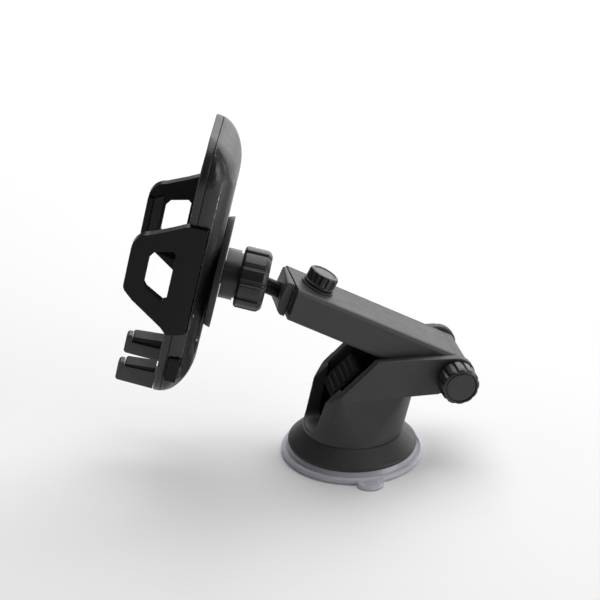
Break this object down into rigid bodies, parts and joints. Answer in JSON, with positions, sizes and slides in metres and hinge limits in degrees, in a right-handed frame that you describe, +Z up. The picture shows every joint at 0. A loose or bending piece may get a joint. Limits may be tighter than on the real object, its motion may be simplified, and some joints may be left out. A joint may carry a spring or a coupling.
{
  "type": "car phone mount",
  "caption": "Long-arm phone mount: lever-locked suction base, telescopic arm with side knob, ball head and spring-jaw cradle with a cable-gap foot.",
  "frame": {"origin": "centre of the suction cup's bottom face, on the cup's axis", "axes": "+Z up out of the cup, -X from the turret towards the phone cradle, -Y towards the pivot knob's side"},
  "size_m": [0.177, 0.0886, 0.1809],
  "materials": {
    "clear_cup": "clear, faintly violet, glossy",
    "matte_black": "fine moulded grain, matte",
    "satin_black": "fine moulded grain, satin",
    "pad_rubber": "soft-touch rubber",
    "steel": "plain machined"
  },
  "bodies": {
    "base": {"suction_cup": "clear_cup", "stem_spring": "steel", "base_skirt": "matte_black", "turret": "matte_black", "base_screws": "steel", "pivot_bolt": "steel", "pivot_bolt_nut": "matte_black", "pivot_washers": "steel"},
    "stem": {"cup_stem": "satin_black", "lever_pin": "steel"},
    "lever": {"suction_lever": "satin_black"},
    "pivot_knob": {"pivot_knob": "satin_black", "pivot_knob_cap": "satin_black"},
    "arm": {"arm_sleeve": "matte_black", "arm_top_cover": "matte_black", "arm_screws": "steel", "brake_pad": "pad_rubber"},
    "lock_knob": {"lock_knob": "satin_black", "lock_screw": "steel", "lock_knob_cap": "satin_black"},
    "inner_arm": {"inner_tube": "satin_black", "tube_end_cap": "matte_black", "ball_stud": "satin_black"},
    "ball_liner": {"ball_liner": "satin_black"},
    "ball_socket": {"ball_socket": "satin_black"},
    "ring_nut": {"ring_nut": "satin_black"},
    "cradle": {"back_plate": "matte_black", "cradle_back_shell": "satin_black", "cradle_front_frame": "satin_black", "face_pad": "pad_rubber", "cradle_screws": "steel", "pinion_shaft": "steel", "jaw_spring_near": "steel", "jaw_spring_far": "steel", "button_spring_near": "steel", "button_spring_far": "steel"},
    "jaw_pinion": {"jaw_pinion": "satin_black"},
    "jaw_near": {"jaw_near": "satin_black", "jaw_pad_near": "pad_rubber"},
    "jaw_far": {"jaw_far": "satin_black", "jaw_pad_far": "pad_rubber"},
    "button_near": {"release_button_near": "satin_black"},
    "button_far": {"release_button_far": "satin_black"},
    "foot": {"foot_bracket": "satin_black", "foot_pad_near": "pad_rubber", "foot_pad_far": "pad_rubber"}
  },
  "joints": [
    {"name": "stem_drop", "type": "slide", "parent": "base", "child": "stem", "axis": [0, 0, -1], "range_m": [0, 0.0025], "deforming": ["stem_spring"]},
    {"name": "lever_release", "type": "hinge", "parent": "stem", "child": "lever", "pos_m": [0, 0, 0.024], "axis": [0, -1, 0], "range_deg": [0, 42]},
    {"name": "pivot_knob_turn", "type": "hinge", "parent": "base", "child": "pivot_knob", "pos_m": [0.047, 0, 0.047], "axis": [0, -1, 0], "continuous": true},
    {"name": "arm_pitch", "type": "hinge", "parent": "base", "child": "arm", "pos_m": [0.047, 0, 0.047], "axis": [0, 1, 0], "range_deg": [-14, 100]},
    {"name": "lock_knob_turn", "type": "hinge", "parent": "arm", "child": "lock_knob", "pos_m": [-0.02337, 0, 0.08505], "axis": [0.4756, 0, 0.8796], "continuous": true},
    {"name": "arm_extend", "type": "slide", "parent": "arm", "child": "inner_arm", "axis": [-0.8796, 0, 0.4756], "range_m": [0, 0.05]},
    {"name": "head_pan", "type": "hinge", "parent": "inner_arm", "child": "ball_liner", "pos_m": [-0.05196, 0, 0.10051], "axis": [0.4756, 0, 0.8796], "range_deg": [-2, 28]},
    {"name": "head_tilt", "type": "hinge", "parent": "ball_liner", "child": "ball_socket", "pos_m": [-0.05196, 0, 0.10051], "axis": [0.2432, 0.961, -0.1315], "range_deg": [-6, 16]},
    {"name": "ring_nut_turn", "type": "hinge", "parent": "ball_socket", "child": "ring_nut", "pos_m": [-0.05196, 0, 0.10051], "axis": [-0.9386, 0.2674, 0.2181], "continuous": true},
    {"name": "head_roll", "type": "hinge", "parent": "ball_socket", "child": "cradle", "pos_m": [-0.05196, 0, 0.10051], "axis": [-0.9386, 0.2674, 0.2181], "continuous": true},
    {"name": "jaw_near_slide", "type": "slide", "parent": "cradle", "child": "jaw_near", "axis": [-0.2808, -0.9592, -0.0324], "range_m": [0, 0.018]},
    {"name": "jaw_far_slide", "type": "slide", "parent": "cradle", "child": "jaw_far", "axis": [0.2808, 0.9592, 0.0324], "range_m": [0, 0.018]},
    {"name": "pinion_turn", "type": "hinge", "parent": "cradle", "child": "jaw_pinion", "pos_m": [-0.07328, 0.00587, 0.11159], "axis": [-0.9386, 0.2674, 0.2181], "range_deg": [-215, 5]},
    {"name": "button_near_press", "type": "slide", "parent": "cradle", "child": "button_near", "axis": [0.2808, 0.9592, 0.0324], "range_m": [0, 0.002], "stiffness_N_per_m": 400, "springref_m": -0.002},
    {"name": "button_far_press", "type": "slide", "parent": "cradle", "child": "button_far", "axis": [-0.2808, -0.9592, -0.0324], "range_m": [0, 0.002], "stiffness_N_per_m": 400, "springref_m": -0.002},
    {"name": "foot_slide", "type": "slide", "parent": "cradle", "child": "foot", "axis": [-0.2006, 0.0916, -0.9754], "range_m": [0, 0.006]}
  ],
  "couplings": [
    {"joint": "stem_drop", "follows": "lever_release", "m_per_rad": 0.00341},
    {"joint": "jaw_far_slide", "follows": "jaw_near_slide", "ratio": 1},
    {"joint": "pinion_turn", "follows": "jaw_near_slide", "rad_per_m": -200}
  ]
}
